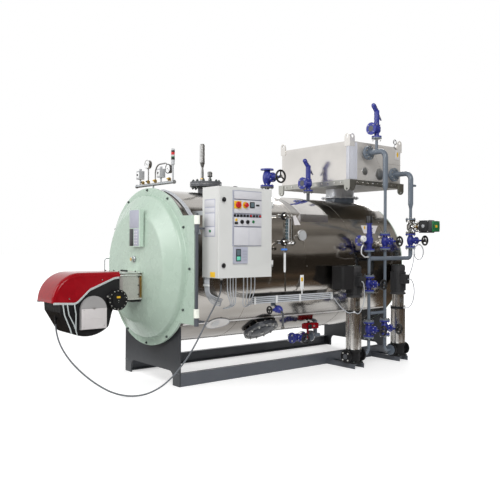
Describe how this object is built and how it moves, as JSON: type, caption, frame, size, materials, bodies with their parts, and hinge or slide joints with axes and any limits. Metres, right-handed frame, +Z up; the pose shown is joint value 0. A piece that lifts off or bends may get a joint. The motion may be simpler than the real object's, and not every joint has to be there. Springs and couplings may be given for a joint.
{
  "type": "fire-tube steam boiler with feed pumps and economizer",
  "caption": "Horizontal fire-tube steam boiler on a skid, with a burner on its swinging door, a control cabinet, feed pumps and an economizer.",
  "frame": {"origin": "centre of the four anchor holes, at floor level", "axes": "+X along the boiler to its rear end, -Y towards the cabinet and the pumps, +Z up"},
  "size_m": [4.3143, 1.9613, 2.9356],
  "materials": {
    "frame_paint": "dark slate grey paint",
    "galvanised": "galvanised sheet",
    "cladding": "stucco-free bright sheet",
    "boiler_steel": "bare dark plate",
    "door_paint": "pale green semi-gloss paint",
    "nozzle_steel": "primed steel",
    "pin_steel": "turned",
    "brass_fitting": "turned",
    "stainless": "brushed stainless",
    "black_casting": "black paint on cast aluminium",
    "red_hood": "moulded cover",
    "grey_panel": "grey paint",
    "grey_cable": "sheathed cable",
    "pipe_steel": "grey paint on steel pipe",
    "gauge_face": "dial and dark case",
    "sensor_grey": "instrument housing",
    "blue_valve": "blue enamel on cast iron",
    "wheel_black": "black",
    "black_plastic": "moulded",
    "motor_black": "black paint",
    "cabinet_grey": "light grey textured paint",
    "control_plate": "plain plate"
  },
  "bodies": {
    "root": {"skid_beams": "frame_paint", "pump_bearers": "galvanised", "front_saddle_plate": "frame_paint", "rear_saddle_plate": "frame_paint", "boiler_shell": "cladding", "front_tube_plate": "boiler_steel", "furnace_tube": "boiler_steel", "rear_end_plate": "door_paint", "mud_hole_cover": "cladding", "shell_nozzles": "nozzle_steel", "hinge_post": "pin_steel", "burner_cable": "grey_cable", "gauge_header": "pipe_steel", "pressure_gauges": "gauge_face", "pressure_sensors": "sensor_grey", "level_probes": "stainless", "steam_valve": "blue_valve", "safety_valves": "blue_valve", "economizer_casing": "cladding", "economizer_frame": "galvanised", "flue_duct": "stainless", "near_feed_pipes": "pipe_steel", "far_feed_pipes": "pipe_steel", "economizer_inlet_pipe": "pipe_steel", "economizer_outlet_pipe": "pipe_steel", "feed_valves": "blue_valve", "relief_valve": "blue_valve", "control_valve": "stainless", "valve_actuator": "black_plastic", "feed_pumps": "stainless", "pump_bases": "black_casting", "pump_motors": "motor_black", "pump_drive_box": "black_plastic", "cabinet_box": "cabinet_grey", "cabinet_fixings": "galvanised", "cable_tray": "galvanised", "tray_cables": "grey_cable", "control_cables": "grey_cable", "level_gauge": "stainless", "blowdown_valve": "blue_valve", "blowdown_actuator": "red_hood", "blowdown_pipe": "pipe_steel"},
    "door": {"front_door": "door_paint", "door_hinge_barrels": "door_paint", "door_instrument_box": "door_paint", "door_fittings": "brass_fitting", "burner_mount": "stainless", "burner_body": "black_casting", "burner_hood": "red_hood", "burner_side_panel": "grey_panel", "damper_cover": "black_casting"},
    "panel_door": {"cabinet_door": "cabinet_grey", "cabinet_controls": "control_plate"},
    "steam_wheel": {"steam_handwheel": "wheel_black"},
    "near_low_wheel": {"near_low_handwheel": "wheel_black"},
    "near_mid_wheel": {"near_mid_handwheel": "wheel_black"},
    "far_low_wheel": {"far_low_handwheel": "wheel_black"},
    "far_top_wheel": {"far_top_handwheel": "wheel_black"},
    "right_wheel": {"right_handwheel": "wheel_black"},
    "blowdown_wheel": {"blowdown_handwheel": "wheel_black"}
  },
  "joints": [
    {"name": "door_swing", "type": "hinge", "parent": "root", "child": "door", "pos_m": [-1.5223, -0.838, 1.1], "axis": [0, 0, 1], "range_deg": [0, 95], "deforming": ["burner_cable"]},
    {"name": "panel_door_swing", "type": "hinge", "parent": "root", "child": "panel_door", "pos_m": [-0.825, -1.048, 1.426], "axis": [0, 0, 1], "range_deg": [0, 110]},
    {"name": "steam_wheel_turn", "type": "hinge", "parent": "root", "child": "steam_wheel", "pos_m": [0.01, -0.228, 2.071], "axis": [0, -1, 0], "range_deg": [0, 1440]},
    {"name": "near_low_wheel_turn", "type": "hinge", "parent": "root", "child": "near_low_wheel", "pos_m": [0.777, -1.038, 0.392], "axis": [0, -1, 0], "range_deg": [0, 1080]},
    {"name": "near_mid_wheel_turn", "type": "hinge", "parent": "root", "child": "near_mid_wheel", "pos_m": [0.777, -1.038, 0.891], "axis": [0, -1, 0], "range_deg": [0, 1080]},
    {"name": "far_low_wheel_turn", "type": "hinge", "parent": "root", "child": "far_low_wheel", "pos_m": [1.049, -1.038, 0.392], "axis": [0, -1, 0], "range_deg": [0, 1080]},
    {"name": "far_top_wheel_turn", "type": "hinge", "parent": "root", "child": "far_top_wheel", "pos_m": [1.049, -1.038, 1.362], "axis": [0, -1, 0], "range_deg": [0, 1080]},
    {"name": "right_wheel_turn", "type": "hinge", "parent": "root", "child": "right_wheel", "pos_m": [1.513, -1.038, 1.3737], "axis": [0, -1, 0], "range_deg": [0, 1080]},
    {"name": "blowdown_wheel_turn", "type": "hinge", "parent": "root", "child": "blowdown_wheel", "pos_m": [0.105, -0.538, 0.31], "axis": [0, -1, 0], "range_deg": [0, 1080]}
  ]
}
